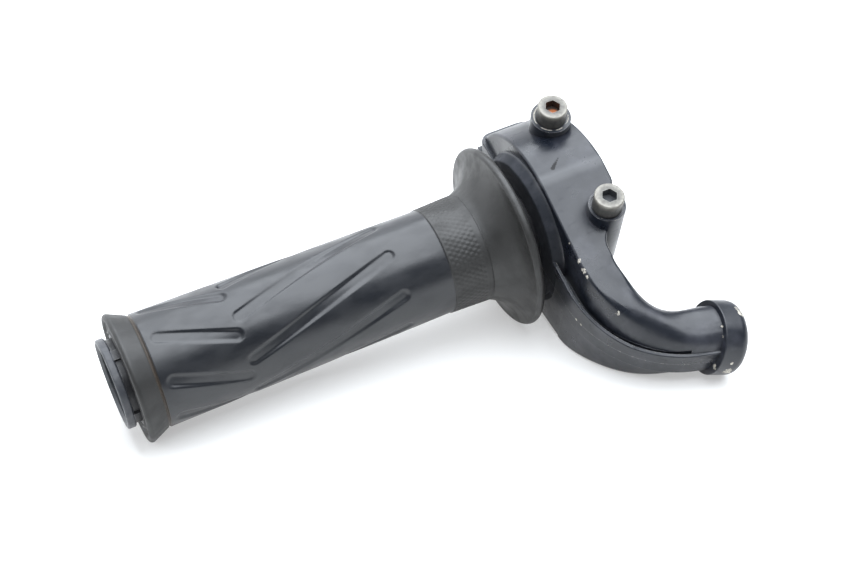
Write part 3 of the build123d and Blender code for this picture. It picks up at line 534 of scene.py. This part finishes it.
# ---------------------------------------------------------------- stage
CAMERA_AT = Vector((-169.4, -339.6, 276.9))      # mm
CAMERA_TOWARDS = Vector((0.2677, 0.7378, -0.6197))
CAMERA_ROLL = -8.6                               # degrees, about the line of sight
CAMERA_LENS = 66.9
FLOOR_SIZE, FLOOR_GAP = 6000.0, 0.02
FLOOR_STEEPEST, FLOOR_HALVINGS = 0.2, 40         # search for the floor's slope along Y
BOARD_GLOW = 0.39                                # the board is a light table, so shadows stay pale
SKY_COLOUR, SKY_STRENGTH = (0.92, 0.95, 1.0, 1.0), 0.27
LIGHTS = (     # name, place, point that it faces, size, watts, colour
    ("overhead", (340, 120, 700), (340, 110, 0), (1250, 1480), 31.5, (0.90, 0.945, 1.0)),
    ("side", (-850, 150, 700), (-850, 150, 0), (460, 900), 4.2, (0.93, 0.96, 1.0)),
    ("window", (-900, 1500, 500), (-200, 0, 100), (4200, 1200), 31.0, (0.93, 0.96, 1.0)),
)


def facing(direction):
    """The turn that points a camera's or a light's own -Z along a direction."""
    return direction.to_track_quat("-Z", "Y").to_matrix().to_4x4()


def make_camera():
    """The camera, at the photograph's viewing angle."""
    data = bpy.data.cameras.new("camera")
    data.lens, data.sensor_width = CAMERA_LENS, 36.0
    data.clip_start, data.clip_end = 0.01, 20.0
    camera = bpy.data.objects.new("camera", data)
    bpy.context.scene.collection.objects.link(camera)
    turn = facing(CAMERA_TOWARDS)
    roll = Matrix.Rotation(math.radians(CAMERA_ROLL), 4, "Z")
    camera.matrix_world = Matrix.Translation(CAMERA_AT * MM) @ turn @ roll
    bpy.context.scene.camera = camera


def floor_plane():
    """(point, normal) of the floor, which touches the end ring, the bell flange and the collar."""
    collar = np.array([tuple(v.co) for v in frame["nodes"]["snout_collar"].data.vertices]) / MM
    lip_x, lip_r = LIP_X + LIP_T / 2, LIP_R + 0.1

    def tilted(slope_y):
        stretch = math.hypot(1, slope_y)
        slope_x = stretch * (RING_R - lip_r) / (RING_X - lip_x)
        normal = np.array([slope_x, slope_y, 1.0])
        return normal, slope_x * RING_X - RING_R * stretch

    low, high = -FLOOR_STEEPEST, FLOOR_STEEPEST
    for _ in range(FLOOR_HALVINGS):
        slope_y = (low + high) / 2
        normal, level = tilted(slope_y)
        if (collar @ normal).min() > level:
            low = slope_y
        else:
            high = slope_y
    normal = Vector(normal)
    return normal * ((level - FLOOR_GAP) / normal.length_squared) * MM, normal.normalized()


def make_floor():
    """A pale board under the grip, which is not part of the object."""
    point, normal = floor_plane()
    mesh = bpy.data.meshes.new("floor")
    half = FLOOR_SIZE / 2 * MM
    mesh.from_pydata([(-half, -half, 0), (half, -half, 0), (half, half, 0), (-half, half, 0)],
                     [], [(0, 1, 2, 3)])
    floor = bpy.data.objects.new("floor", mesh)
    bpy.context.scene.collection.objects.link(floor)
    level = normal.to_track_quat("Z", "Y").to_matrix().to_4x4()
    floor.matrix_world = Matrix.Translation(point) @ level
    t = Tree("pale_board", roughness=0.55, specular=0.3)
    t.shader.inputs["Emission Color"].default_value = (1.0, 1.0, 1.0, 1.0)
    t.shader.inputs["Emission Strength"].default_value = BOARD_GLOW
    smudge = t.ramp(t.noise(60.0, 3), 0.4, 0.7)
    mesh.materials.append(t.finish(t.mix(smudge, (0.61, 0.61, 0.60), (0.58, 0.58, 0.57))))


def area_light(name, at_mm, towards_mm, size_mm, watts, colour):
    data = bpy.data.lights.new(name, "AREA")
    data.shape, data.size, data.size_y = "RECTANGLE", size_mm[0] * MM, size_mm[1] * MM
    data.energy, data.color = watts, colour
    light = bpy.data.objects.new(name, data)
    bpy.context.scene.collection.objects.link(light)
    at = Vector(at_mm) * MM
    light.matrix_world = Matrix.Translation(at) @ facing(Vector(towards_mm) * MM - at)


def make_lights():
    """Soft boxes over, beside and behind the grip in a dim room."""
    world = bpy.data.worlds.new("soft_white")
    bpy.context.scene.world = world
    world.use_nodes = True
    background = world.node_tree.nodes["Background"]
    background.inputs["Color"].default_value = SKY_COLOUR
    background.inputs["Strength"].default_value = SKY_STRENGTH
    for light in LIGHTS:
        area_light(*light)
    bpy.context.scene.view_settings.view_transform = "Standard"


make_camera()
make_floor()
make_lights()
paint_nodes()
rubber_grip()
